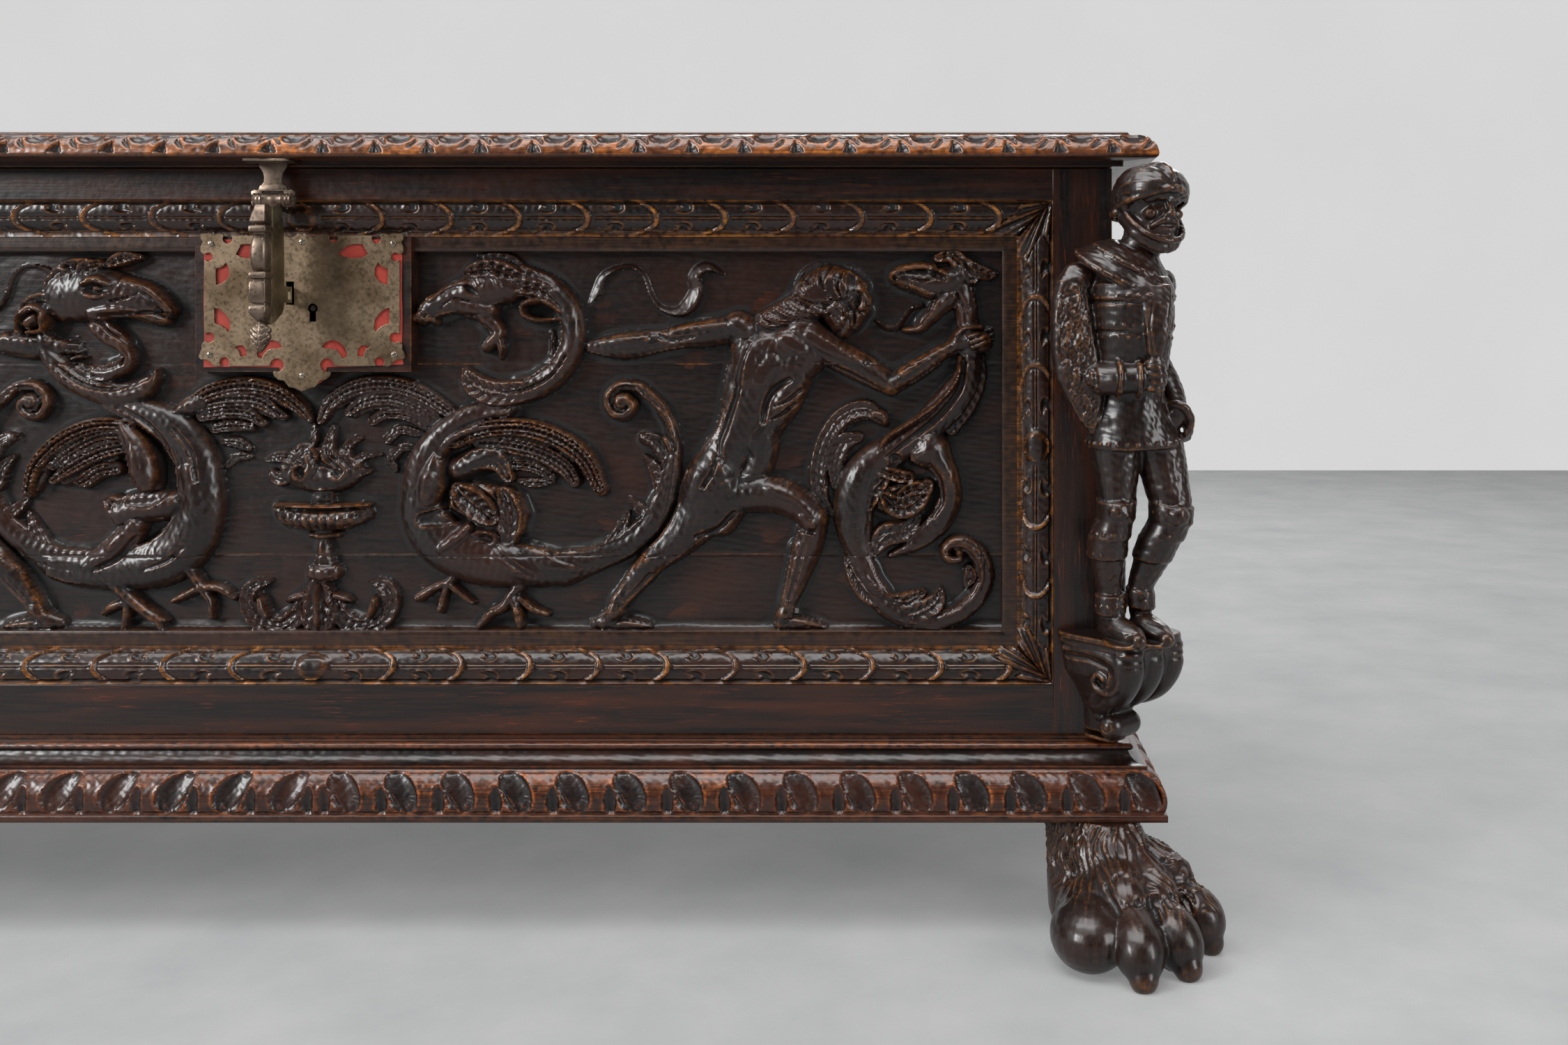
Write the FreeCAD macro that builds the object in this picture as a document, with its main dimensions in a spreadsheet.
import FreeCAD, Part
import math
import os

import Sketcher

# A cassone: a walnut chest with a carved front, corner knights on brackets and paw feet.
# Millimetres. +X runs along the length, -Y is the carved front, +Z is up.
# The origin is on the floor under the middle of the whole chest's box.

SIZES = (
    # Carcase
    ("body_width", 1548.0, "over the end boards"),
    ("body_depth", 560.0, "front plane to back plane"),
    ("feet_height", 105.0, "floor to the underside of the base"),
    ("base_height", 70.0, "underside of the base to the underside of the carcase"),
    ("body_height", 552.7, "carcase without base and lid"),
    ("stile_width", 57.0, "front and back stiles"),
    ("top_rail_height", 30.7, "front top rail"),
    ("bottom_rail_height", 49.0, "front bottom rail"),
    ("frame_thick", 44.0, "front stiles and rails"),
    ("side_thick", 28.0, "end boards"),
    ("side_joint_height", 282.0, "height of the lower end board"),
    ("back_thick", 25.0, "back boards and back stiles"),
    ("back_joint_height", 268.0, "height of the lower back board"),
    ("bottom_thick", 20.0, "bottom boards"),
    ("plinth_thick", 60.0, "rails that carry the carcase"),
    # Front panel
    ("panel_sink", 26.0, "ground of the carving behind the front plane"),
    ("panel_thick", 18.0, "board left behind the ground"),
    ("upper_board_height", 160.6, "top board of the panel"),
    ("lower_board_height", 123.3, "bottom board of the panel"),
    ("relief_height", 15.5, "tallest of the carving's main forms over the ground"),
    ("relief_margin", 1.5, "carving's edge inside the fillets and round the lock's block"),
    # Leaf moulding round the panel
    ("leaf_width", 35.0, "carved part, seen from the front"),
    ("leaf_fillet_width", 14.5, "plain fillet beside the panel"),
    ("leaf_edge_proud", 0.5, "at the frame"),
    ("leaf_crest_proud", 2.0, "highest line of the leaf"),
    ("leaf_crest_setback", 8.0, "of that line from the frame"),
    ("leaf_inner_sink", 12.5, "leaf's inner edge behind the front plane"),
    ("leaf_fillet_sink", 13.5, "fillet behind the front plane"),
    # Lid
    ("lid_gap", 0.5, "between carcase and lid"),
    ("lid_thick", 32.8, "lid boards"),
    ("lid_board_reach", 10.0, "boards beyond the carcase"),
    ("lid_overhang", 40.0, "carved edge beyond the carcase"),
    ("lid_edge_height", 28.0, "carved edge"),
    ("lid_joint_depth", 300.0, "depth of the back board of the lid"),
    # Base mouldings
    ("base_overhang", 47.0, "gadroon beyond the carcase"),
    ("gadroon_height", 46.0, "lower moulding"),
    # Paw feet
    ("paw_reach", 170.0, "front of the paw before the front plane"),
    ("paw_length", 165.0, "front of the paw before the leg's middle"),
    ("paw_side", 19.0, "leg's middle inside the end plane"),
    ("paw_back_inset", 60.0, "back leg's middle inside the back plane"),
    # Corner brackets and knights
    ("bracket_height", 103.0, "from the base to the knight's feet"),
    ("bracket_reach", 76.0, "front edge beyond the corner"),
    ("knight_headroom", 0.7, "helmet below the carcase's top"),
    ("knight_out", 11.0, "figure's middle beyond the end plane"),
    ("knight_proud", 45.0, "figure's middle before the front plane"),
    # Lock
    ("lock_left", 19.0, "plate's middle left of the chest's middle"),
    ("lock_plate_width", 204.0, "over the ears"),
    ("lock_plate_height", 155.0, "ears to pendant tip"),
    ("lock_plate_top", 63.0, "plate's top below the carcase's top"),
    ("lock_plate_thick", 2.0, "steel sheet"),
    ("lock_plate_sink", 5.4, "plate's face behind the front plane"),
    ("lock_cloth_thick", 0.8, "red cloth"),
    ("lock_block_side", 4.0, "wooden block beyond the plate"),
    ("lock_block_height", 133.0, "wooden block"),
    ("lock_screw_radius", 1.8, "shank"),
    ("lock_screw_head", 4.2, "head radius"),
    ("lock_screw_length", 7.2, "under the head"),
    ("lock_case_width", 112.0, "iron case"),
    ("lock_case_height", 78.0, "iron case"),
    ("lock_case_depth", 26.0, "iron case"),
    ("lock_case_drop", 88.0, "case's top below the carcase's top"),
    ("lock_case_wall", 1.6, "iron case"),
    ("keyhole_right", 10.5, "keyhole right of the plate's middle"),
    ("keyhole_drop", 136.5, "key pin below the carcase's top"),
    ("keyhole_radius", 5.2, "round top of the keyhole"),
    ("keyhole_width", 6.4, "slot of the keyhole"),
    ("keyhole_length", 13.0, "round middle to slot end"),
    ("key_pin_radius", 2.6, "pin that the key turns on"),
    ("bolt_length", 48.0, "lock bolt"),
    ("bolt_height", 6.4, "lock bolt"),
    ("bolt_thick", 3.6, "lock bolt"),
    ("bolt_sink", 11.2, "bolt's middle behind the front plane"),
    ("bolt_start", 3.0, "bolt's end clear of the staple, open"),
    # Hasp
    ("hasp_left", 36.0, "hasp's middle left of the chest's middle"),
    ("hasp_axis_proud", 15.0, "hinge axis before the front plane"),
    ("hasp_axis_drop", 32.5, "hinge axis below the carcase's top"),
    ("hasp_knuckle_radius", 7.5, "barrel"),
    ("hasp_knuckle_length", 40.0, "whole barrel"),
    ("hasp_middle_length", 19.0, "arm's share of the barrel"),
    ("hasp_pin_radius", 2.6, "pin"),
    ("hasp_bar_width", 17.0, "arm"),
    ("hasp_bar_front", 50.0, "arm's face before the front plane"),
    ("hasp_bar_back", 32.0, "arm's back before the front plane"),
    ("hasp_web_thick", 6.0, "web behind the arm"),
    ("hasp_web_back", 11.5, "web's back before the front plane"),
    ("hasp_web_drop", 110.0, "web's end below the axis"),
    ("hasp_arm_start", 8.0, "arm's top below the axis"),
    ("hasp_arm_length", 102.0, "arm without the leaf end"),
    ("hasp_leaf_length", 39.0, "leaf end"),
    ("hasp_leaf_width", 21.0, "leaf end"),
    ("hasp_leaf_thick", 11.0, "leaf end"),
    ("hasp_strap_thick", 3.0, "strap under the lid"),
    ("hasp_strap_width", 45.0, "strap under the lid"),
    ("hasp_neck_width", 26.0, "strap's upright"),
    ("hasp_strap_reach", 36.0, "strap's front before the front plane"),
    ("staple_drop", 91.0, "staple's middle below the axis"),
    ("staple_height", 16.0, "staple"),
    ("staple_tip_sink", 4.0, "staple's tip behind the front plane"),
    ("staple_eye_proud", 1.7, "eye's middle before the front plane"),
    ("staple_eye_height", 9.4, "eye"),
    ("staple_eye_depth", 5.6, "eye"),
    ("staple_slot_width", 10.0, "slot in the plate"),
    ("staple_slot_height", 30.0, "slot in the plate"),
    ("staple_rise", 2.7, "eye's rise when the hasp is pressed home"),
    # Lid hinges
    ("hinge_radius", 5.5, "barrel"),
    ("hinge_pin_radius", 2.5, "pin"),
    ("hinge_axis_back", 6.0, "axis behind the back plane"),
    ("hinge_leaf_thick", 3.0, "leaves"),
    ("hinge_leaf_height", 78.0, "lower leaf"),
    ("hinge_upper_height", 22.0, "upper leaf"),
    ("hinge_width", 66.0, "both leaves"),
    ("hinge_middle", 26.0, "upper leaf's share of the barrel"),
    ("hinge_inset", 230.0, "hinge's middle from the end plane"),
    ("hinge_screw_radius", 2.2, "shank"),
    ("hinge_screw_head", 4.4, "head radius"),
    ("hinge_screw_length", 15.0, "under the head"),
    ("screw_head_height", 1.6, "screw heads"),
    # Fits
    ("running_gap", 0.3, "between pieces that move"),
    ("pin_gap", 0.06, "radial, pin in its barrel"),
    ("pilot_gap", 0.1, "radial, screw in its hole"),
    ("overrun", 5.0, "cuts past the face they leave by"),
)

# Unit vectors
ALONG_X = FreeCAD.Vector(1, 0, 0)
ALONG_Y = FreeCAD.Vector(0, 1, 0)
ALONG_Z = FreeCAD.Vector(0, 0, 1)

# Main forms of the panel's carving: name, height as a share of relief_height, then the middle line as
# (out from the middle as a share of half the field, up as a share of its height, half width as that share)
# The first table is carved on both halves of the panel, the second only where it says
RELIEF_PAIR_SHARES = (
    ("tail", 0.57, (
        (0.356, 0.170, 0.038), (0.396, 0.188, 0.027), (0.443, 0.223, 0.024), (0.479, 0.280, 0.023),
        (0.500, 0.354, 0.022), (0.510, 0.424, 0.016), (0.513, 0.495, 0.010), (0.507, 0.554, 0.008),
        (0.488, 0.603, 0.008), (0.461, 0.642, 0.008), (0.435, 0.648, 0.008), (0.420, 0.627, 0.008),
        (0.416, 0.596, 0.008),
    )),
    ("tail_curl", 0.65, (
        (0.427, 0.596, 0.011), (0.439, 0.600, 0.022), (0.453, 0.596, 0.011),
    )),
    ("tail_leaf", 0.39, (
        (0.465, 0.512, 0.006), (0.484, 0.498, 0.014), (0.502, 0.459, 0.017), (0.507, 0.403, 0.018),
        (0.504, 0.354, 0.014),
    )),
    ("tail_spray", 0.39, (
        (0.479, 0.294, 0.007), (0.467, 0.266, 0.022), (0.445, 0.236, 0.023), (0.418, 0.206, 0.010),
    )),
    ("rear_arm", 0.61, (
        (0.388, 0.749, 0.011), (0.412, 0.749, 0.020), (0.443, 0.752, 0.027), (0.475, 0.759, 0.027),
        (0.498, 0.765, 0.023), (0.530, 0.778, 0.026), (0.565, 0.785, 0.029), (0.605, 0.795, 0.029),
    )),
    ("torso", 0.91, (
        (0.664, 0.795, 0.045), (0.656, 0.748, 0.066), (0.645, 0.691, 0.069), (0.633, 0.635, 0.063),
        (0.621, 0.572, 0.054), (0.605, 0.509, 0.047), (0.587, 0.452, 0.050), (0.575, 0.403, 0.055),
    )),
    ("flank", 0.87, (
        (0.715, 0.748, 0.036), (0.699, 0.705, 0.044), (0.687, 0.649, 0.030), (0.668, 0.593, 0.030),
    )),
    ("rear_leg", 0.83, (
        (0.575, 0.400, 0.056), (0.562, 0.361, 0.057), (0.550, 0.312, 0.051), (0.531, 0.263, 0.042),
        (0.508, 0.221, 0.033), (0.484, 0.185, 0.027), (0.467, 0.150, 0.026), (0.448, 0.108, 0.020),
        (0.432, 0.073, 0.016), (0.427, 0.048, 0.016),
    )),
    ("rear_foot", 0.43, (
        (0.404, 0.018, 0.010), (0.431, 0.018, 0.016), (0.463, 0.013, 0.011), (0.478, 0.010, 0.005),
    )),
    ("front_thigh", 0.83, (
        (0.531, 0.382, 0.042), (0.606, 0.365, 0.039), (0.642, 0.365, 0.041), (0.677, 0.353, 0.038),
        (0.709, 0.322, 0.035), (0.721, 0.289, 0.027),
    )),
    ("front_shin", 0.74, (
        (0.719, 0.298, 0.029), (0.715, 0.249, 0.030), (0.705, 0.192, 0.027), (0.694, 0.129, 0.022),
        (0.684, 0.076, 0.015), (0.679, 0.041, 0.014),
    )),
    ("front_foot", 0.43, (
        (0.665, 0.018, 0.012), (0.694, 0.020, 0.016), (0.720, 0.014, 0.010), (0.737, 0.008, 0.004),
    )),
    ("front_arm", 0.87, (
        (0.681, 0.776, 0.036), (0.705, 0.784, 0.039), (0.732, 0.755, 0.035), (0.764, 0.721, 0.031),
        (0.795, 0.691, 0.030), (0.823, 0.662, 0.024), (0.835, 0.646, 0.018),
    )),
    ("forearm", 0.70, (
        (0.834, 0.646, 0.018), (0.858, 0.673, 0.022), (0.886, 0.703, 0.020), (0.913, 0.736, 0.015),
        (0.937, 0.756, 0.016), (0.955, 0.767, 0.024), (0.970, 0.765, 0.020),
    )),
    ("hair", 0.91, (
        (0.649, 0.814, 0.024), (0.681, 0.833, 0.032), (0.709, 0.859, 0.039), (0.728, 0.891, 0.050),
        (0.756, 0.891, 0.055), (0.779, 0.881, 0.039),
    )),
    ("face", 0.83, (
        (0.764, 0.916, 0.036), (0.787, 0.894, 0.026), (0.793, 0.856, 0.018), (0.772, 0.811, 0.022),
    )),
    ("serpent", 0.70, (
        (0.938, 0.913, 0.025), (0.947, 0.846, 0.024), (0.950, 0.776, 0.022), (0.954, 0.712, 0.024),
        (0.945, 0.651, 0.031), (0.921, 0.594, 0.037), (0.883, 0.531, 0.033), (0.844, 0.480, 0.033),
        (0.809, 0.437, 0.037), (0.789, 0.382, 0.042), (0.781, 0.312, 0.041), (0.784, 0.242, 0.033),
        (0.792, 0.185, 0.025), (0.805, 0.124, 0.023), (0.828, 0.069, 0.024), (0.863, 0.034, 0.023),
        (0.901, 0.024, 0.019), (0.935, 0.042, 0.016), (0.961, 0.081, 0.016), (0.974, 0.136, 0.015),
        (0.968, 0.188, 0.014), (0.951, 0.222, 0.013), (0.930, 0.228, 0.012),
    )),
    ("serpent_head", 0.78, (
        (0.850, 0.932, 0.018), (0.874, 0.925, 0.026), (0.901, 0.919, 0.032), (0.929, 0.923, 0.032),
        (0.947, 0.944, 0.024),
    )),
    ("serpent_ear", 0.83, (
        (0.933, 0.979, 0.013), (0.955, 0.955, 0.016), (0.976, 0.942, 0.012),
    )),
    ("serpent_jaw", 0.70, (
        (0.925, 0.881, 0.023), (0.908, 0.856, 0.019), (0.893, 0.826, 0.014), (0.880, 0.801, 0.010),
    )),
    ("serpent_ball", 0.96, (
        (0.866, 0.475, 0.024), (0.890, 0.476, 0.039), (0.911, 0.459, 0.026),
    )),
    ("serpent_arm", 0.65, (
        (0.908, 0.447, 0.029), (0.920, 0.403, 0.023), (0.923, 0.347, 0.023), (0.909, 0.292, 0.024),
        (0.886, 0.251, 0.020), (0.864, 0.221, 0.011),
    )),
    ("serpent_fan", 0.87, (
        (0.819, 0.347, 0.020), (0.846, 0.340, 0.042), (0.878, 0.354, 0.035),
    )),
    ("sickle", 0.43, (
        (0.822, 0.554, 0.008), (0.799, 0.579, 0.018), (0.765, 0.561, 0.019), (0.741, 0.500, 0.018),
        (0.729, 0.424, 0.017), (0.732, 0.354, 0.014),
    )),
    ("sickle_inner", 0.39, (
        (0.783, 0.507, 0.010), (0.765, 0.490, 0.017), (0.754, 0.438, 0.016), (0.754, 0.389, 0.011),
    )),
    ("bottom_leaf", 0.61, (
        (0.841, 0.039, 0.008), (0.874, 0.046, 0.022), (0.900, 0.073, 0.017),
    )),
)
RELIEF_SINGLE_SHARES = (
    ("neck", 0.70, (
        (0.286, 0.946, 0.016), (0.325, 0.911, 0.023), (0.353, 0.860, 0.025), (0.364, 0.797, 0.024),
        (0.360, 0.740, 0.025), (0.341, 0.684, 0.026), (0.309, 0.646, 0.025), (0.274, 0.631, 0.026),
        (0.242, 0.631, 0.026), (0.219, 0.653, 0.020), (0.208, 0.677, 0.008),
    )),
    ("body", 0.74, (
        (0.270, 0.584, 0.017), (0.234, 0.579, 0.018), (0.200, 0.554, 0.023), (0.169, 0.507, 0.030),
        (0.145, 0.445, 0.035), (0.139, 0.375, 0.039), (0.145, 0.298, 0.048), (0.173, 0.237, 0.055),
        (0.223, 0.199, 0.055), (0.282, 0.178, 0.045), (0.341, 0.170, 0.035), (0.368, 0.174, 0.030),
    )),
    ("shoulder", 0.96, (
        (0.162, 0.459, 0.018), (0.160, 0.431, 0.025), (0.156, 0.389, 0.031), (0.154, 0.354, 0.024),
    )),
    ("breast", 0.78, (
        (0.185, 0.347, 0.020), (0.215, 0.347, 0.042), (0.246, 0.312, 0.066), (0.274, 0.291, 0.066),
        (0.293, 0.284, 0.024),
    )),
    ("wing_outer", 0.70, (
        (0.187, 0.495, 0.014), (0.234, 0.525, 0.019), (0.293, 0.530, 0.020), (0.345, 0.502, 0.020),
        (0.382, 0.451, 0.019), (0.402, 0.382, 0.013),
    )),
    ("wing_inner", 0.48, (
        (0.230, 0.489, 0.016), (0.270, 0.483, 0.020), (0.317, 0.462, 0.022), (0.351, 0.428, 0.018),
        (0.362, 0.399, 0.012),
    )),
    ("head", 0.83, (
        (0.143, 0.830, 0.016), (0.160, 0.856, 0.025), (0.185, 0.873, 0.030), (0.215, 0.884, 0.037),
        (0.246, 0.901, 0.038), (0.274, 0.906, 0.026),
    )),
    ("crest", 0.91, (
        (0.215, 0.940, 0.011), (0.232, 0.950, 0.019), (0.262, 0.950, 0.022), (0.290, 0.927, 0.016),
    )),
    ("ear", 0.87, (
        (0.266, 0.902, 0.017), (0.293, 0.904, 0.019), (0.325, 0.891, 0.019), (0.347, 0.860, 0.013),
    )),
    ("beard", 0.57, (
        (0.233, 0.825, 0.014), (0.248, 0.804, 0.014), (0.251, 0.776, 0.014), (0.241, 0.755, 0.012),
    )),
    ("back_wing_top", 0.39, (
        (-0.008, 0.562, 0.009), (0.005, 0.598, 0.017), (0.038, 0.632, 0.020), (0.083, 0.646, 0.020),
        (0.133, 0.624, 0.019), (0.171, 0.585, 0.014),
    )),
    ("back_wing_low", 0.35, (
        (0.035, 0.573, 0.010), (0.060, 0.598, 0.015), (0.096, 0.606, 0.017), (0.138, 0.576, 0.015),
        (0.167, 0.540, 0.011),
    )),
    ("left_wing_top", 0.57, (
        (-0.190, 0.591, 0.019), (-0.165, 0.620, 0.022), (-0.118, 0.637, 0.022), (-0.074, 0.623, 0.018),
        (-0.045, 0.591, 0.013),
    )),
    ("left_wing_low", 0.48, (
        (-0.186, 0.570, 0.014), (-0.148, 0.603, 0.019), (-0.104, 0.600, 0.019), (-0.074, 0.570, 0.011),
    )),
    ("urn_flames", 0.61, (
        (-0.064, 0.420, 0.015), (-0.034, 0.435, 0.036), (-0.007, 0.435, 0.045), (0.020, 0.430, 0.036),
        (0.047, 0.420, 0.015),
    )),
    ("urn_neck", 0.52, (
        (-0.005, 0.397, 0.029), (-0.005, 0.360, 0.022), (-0.005, 0.333, 0.025),
    )),
    ("urn_rim", 0.61, (
        (-0.076, 0.325, 0.007), (-0.007, 0.321, 0.008), (0.061, 0.325, 0.007),
    )),
    ("urn_bowl", 0.70, (
        (-0.066, 0.303, 0.013), (-0.039, 0.295, 0.023), (-0.007, 0.292, 0.027), (0.024, 0.295, 0.023),
        (0.052, 0.303, 0.013),
    )),
    ("urn_stem", 0.52, (
        (-0.005, 0.270, 0.019), (-0.005, 0.240, 0.013), (-0.005, 0.202, 0.015), (-0.005, 0.172, 0.022),
    )),
    ("urn_knop", 0.65, (
        (-0.026, 0.153, 0.015), (-0.005, 0.151, 0.020), (0.016, 0.153, 0.015),
    )),
    ("urn_leaf", 0.61, (
        (-0.013, 0.129, 0.015), (-0.013, 0.082, 0.034), (-0.013, 0.037, 0.038), (-0.013, -0.002, 0.022),
    )),
    ("urn_scroll_left", 0.39, (
        (-0.038, 0.078, 0.014), (-0.047, 0.037, 0.019), (-0.072, 0.010, 0.018), (-0.100, 0.025, 0.018),
        (-0.114, 0.064, 0.018), (-0.109, 0.106, 0.014),
    )),
    ("urn_scroll_right", 0.39, (
        (0.013, 0.078, 0.014), (0.022, 0.037, 0.019), (0.047, 0.010, 0.018), (0.075, 0.025, 0.018),
        (0.089, 0.064, 0.018), (0.084, 0.106, 0.014),
    )),
    ("left_body", 0.78, (
        (-0.349, 0.648, 0.018), (-0.312, 0.598, 0.020), (-0.263, 0.564, 0.029), (-0.226, 0.526, 0.037),
        (-0.199, 0.454, 0.041), (-0.191, 0.367, 0.045), (-0.196, 0.292, 0.048), (-0.215, 0.228, 0.051),
        (-0.246, 0.187, 0.050), (-0.286, 0.171, 0.043), (-0.333, 0.157, 0.034), (-0.379, 0.157, 0.027),
        (-0.410, 0.168, 0.018),
    )),
    ("left_loop", 0.65, (
        (-0.417, 0.768, 0.015), (-0.410, 0.727, 0.019), (-0.388, 0.678, 0.022), (-0.354, 0.643, 0.023),
        (-0.312, 0.626, 0.023), (-0.280, 0.633, 0.019), (-0.261, 0.658, 0.011),
    )),
    ("left_head", 0.91, (
        (-0.410, 0.881, 0.042), (-0.381, 0.888, 0.057), (-0.345, 0.896, 0.054), (-0.312, 0.887, 0.042),
        (-0.282, 0.871, 0.033), (-0.249, 0.848, 0.019),
    )),
    ("left_jaw", 0.74, (
        (-0.344, 0.818, 0.015), (-0.324, 0.791, 0.017), (-0.303, 0.761, 0.015), (-0.293, 0.727, 0.013),
        (-0.303, 0.697, 0.013), (-0.324, 0.688, 0.013),
    )),
    ("left_ear", 0.83, (
        (-0.446, 0.809, 0.017), (-0.433, 0.832, 0.025), (-0.417, 0.839, 0.023),
    )),
    ("left_shoulder", 1.00, (
        (-0.296, 0.532, 0.013), (-0.282, 0.495, 0.022), (-0.270, 0.446, 0.032), (-0.267, 0.397, 0.028),
    )),
    ("left_hip", 0.83, (
        (-0.307, 0.318, 0.028), (-0.278, 0.326, 0.032), (-0.240, 0.331, 0.032),
    )),
    ("left_thigh", 0.78, (
        (-0.282, 0.277, 0.024), (-0.299, 0.235, 0.028), (-0.327, 0.198, 0.025), (-0.351, 0.168, 0.018),
    )),
    ("left_wing_fore", 0.65, (
        (-0.295, 0.532, 0.022), (-0.339, 0.531, 0.023), (-0.385, 0.499, 0.023), (-0.421, 0.438, 0.019),
        (-0.434, 0.375, 0.013),
    )),
    ("left_wing_mid", 0.52, (
        (-0.312, 0.472, 0.017), (-0.335, 0.460, 0.022), (-0.368, 0.427, 0.019), (-0.393, 0.394, 0.010),
    )),
)

# Outline of the lid's carved edge: shares of its reach and height, from its lower back corner
LID_EDGE_SHARES = {
    "foot": (0.90, 0.0),
    "lip": (1.0, 0.14),
    "swell": (0.80, 0.62),
    "shoulder": (0.17, 0.86),
}

# Outline of the upper base moulding: shares of the overhang and of its own height
OGEE_SHARES = {
    "foot": (0.64, 0.0),
    "quirk": (0.64, 0.10),
    "hollow": (0.37, 0.27),
    "neck": (0.28, 0.56),
    "bead": (0.38, 0.70),
    "bead_top": (0.28, 0.84),
    "cap_back": (0.12, 0.84),
    "cap_top": (0.12, 1.0),
}

# Outline of the base gadroon: shares of the overhang and of its own height
GADROON_SHARES = {
    "foot": (1.0, 0.0),
    "fillet_top": (1.0, 0.15),
    "fillet_back": (0.93, 0.15),
    "swell": (0.97, 0.56),
    "shoulder": (0.66, 0.97),
}

# Sections of the corner bracket: shares of its height and reach
BRACKET_SECTION_SHARES = ((1.0, 1.0), (0.86, 1.0), (0.60, 0.74), (0.34, 0.50), (0.14, 0.46), (0.0, 0.40))
# Bracket's plan: its side starts this far back along each face, as a share of its reach
BRACKET_BACK_SHARE = 0.55
BRACKET_CORNER_SHARE = 0.11

# Limbs of the paw as shares of paw_length: name, then two round ends as (out, forward, up, radius)
PAW_LIMB_SHARES = (
    ("leg", (0.0, 0.0, 0.62, 0.290), (0.02, 0.06, 0.30, 0.292)),
    ("instep", (0.05, 0.15, 0.34, 0.262), (0.21, 0.50, 0.225, 0.230)),
    ("toe_a", (0.10, 0.50, 0.22, 0.136), (0.145, 0.8685, 0.125, 0.1315)),
    ("toe_b", (0.22, 0.45, 0.22, 0.140), (0.36, 0.70, 0.128, 0.135)),
    ("toe_c", (0.26, 0.32, 0.22, 0.141), (0.56, 0.45, 0.126, 0.133)),
    ("pad", (0.0, 0.30, 0.24, 0.172), (-0.10, 0.64, 0.150, 0.156)),
)

# Limbs of the knight as shares of his height, in the same way
KNIGHT_LIMB_SHARES = (
    ("helmet", (0.032, 0.012, 0.862, 0.071), (0.032, 0.002, 0.925, 0.075)),
    ("bevor", (0.026, 0.010, 0.800, 0.056), (0.036, 0.040, 0.838, 0.050)),
    ("thigh_near", (-0.034, 0.020, 0.420, 0.058), (-0.036, 0.040, 0.270, 0.047)),
    ("shin_near", (-0.036, 0.038, 0.240, 0.043), (-0.038, 0.020, 0.065, 0.028)),
    ("foot_near", (-0.034, 0.020, 0.026, 0.032), (-0.012, 0.110, 0.020, 0.026)),
    ("thigh_far", (0.040, 0.002, 0.420, 0.056), (0.084, 0.028, 0.275, 0.045)),
    ("shin_far", (0.082, 0.026, 0.248, 0.042), (0.050, 0.008, 0.065, 0.028)),
    ("foot_far", (0.050, 0.006, 0.026, 0.031), (0.072, 0.090, 0.020, 0.026)),
    ("arm_near", (-0.098, -0.004, 0.735, 0.043), (-0.112, 0.010, 0.600, 0.036)),
    ("forearm_near", (-0.090, 0.055, 0.560, 0.035), (0.060, 0.086, 0.548, 0.032)),
    ("arm_far", (0.090, -0.006, 0.735, 0.041), (0.118, -0.010, 0.585, 0.034)),
    ("forearm_far", (0.116, -0.008, 0.570, 0.035), (0.106, 0.030, 0.450, 0.031)),
)
# Half outline of the turned trunk from skirt to neck: (radius, height) as shares of the knight's height
TRUNK_SHARES = (
    (0.0, 0.392), (0.094, 0.392), (0.080, 0.450), (0.066, 0.515), (0.080, 0.585), (0.093, 0.675),
    (0.090, 0.735), (0.066, 0.785), (0.050, 0.820), (0.0, 0.820),
)
# Outline of the shield: (out, up) as shares of the knight's height
SHIELD_SHARES = ((-0.169, 0.720), (-0.162, 0.600), (-0.078, 0.450), (-0.034, 0.600), (-0.045, 0.720))
SHIELD_FORWARD_SHARE = 0.060
SHIELD_THICK_SHARE = 0.026
# Squared back of the knight's block: half width, forward and backward of his middle, height
KNIGHT_BLOCK_SHARES = {"left": 0.055, "right": 0.055, "front": -0.040, "back": -0.140, "top": 0.80}

# Half outline of the lock plate from the top's middle: shares of half the width and of the height
PLATE_HALF_SHARES = (
    (0.0, 0.995), (0.035, 0.982), (0.075, 1.0), (0.12, 0.958), (0.20, 0.975), (0.25, 0.962),
    (0.25, 0.935), (0.36, 0.935), (0.36, 0.965), (0.68, 0.965), (0.68, 0.935), (0.78, 0.935),
    (0.78, 0.985), (0.84, 0.975), (0.90, 1.0), (0.995, 0.995), (1.0, 0.945), (0.955, 0.905),
    (1.0, 0.870), (0.985, 0.835), (0.925, 0.835), (0.925, 0.800), (0.955, 0.795), (0.945, 0.345),
    (0.885, 0.345), (0.885, 0.305), (0.96, 0.300), (0.975, 0.245), (0.96, 0.205), (0.99, 0.165),
    (0.92, 0.155), (0.86, 0.125), (0.78, 0.135), (0.78, 0.175), (0.70, 0.175), (0.70, 0.135),
    (0.28, 0.135), (0.28, 0.185), (0.17, 0.185), (0.17, 0.120), (0.22, 0.085), (0.17, 0.050),
    (0.09, 0.052), (0.055, 0.012), (0.0, 0.0),
)
# Round cut-outs in half of the plate: middle and radius, shares of half the width and of the height
PLATE_ROUND_SHARES = (
    ("lens", (0.44, 0.880), 0.052),
    ("upper_side", (0.72, 0.735), 0.060),
    ("lower_side", (0.72, 0.450), 0.068),
    ("crescent", (0.245, 0.255), 0.055),
    ("small", (0.525, 0.238), 0.036),
)
PLATE_SCREW_SHARES = (
    (0.875, 0.935), (-0.875, 0.935), (0.0, 0.945), (0.885, 0.232), (-0.885, 0.232), (0.0, 0.098),
)

# Outline of the red cloth under the plate: shares of half the plate's width and of its height
CLOTH_SHARES = (
    (-0.96, 0.965), (-0.96, 0.15), (-0.23, 0.15), (-0.20, 0.07), (0.08, 0.06), (0.12, 0.03),
    (0.20, 0.07), (0.23, 0.15), (0.985, 0.17), (0.985, 0.85), (0.96, 0.965),
)

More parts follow.
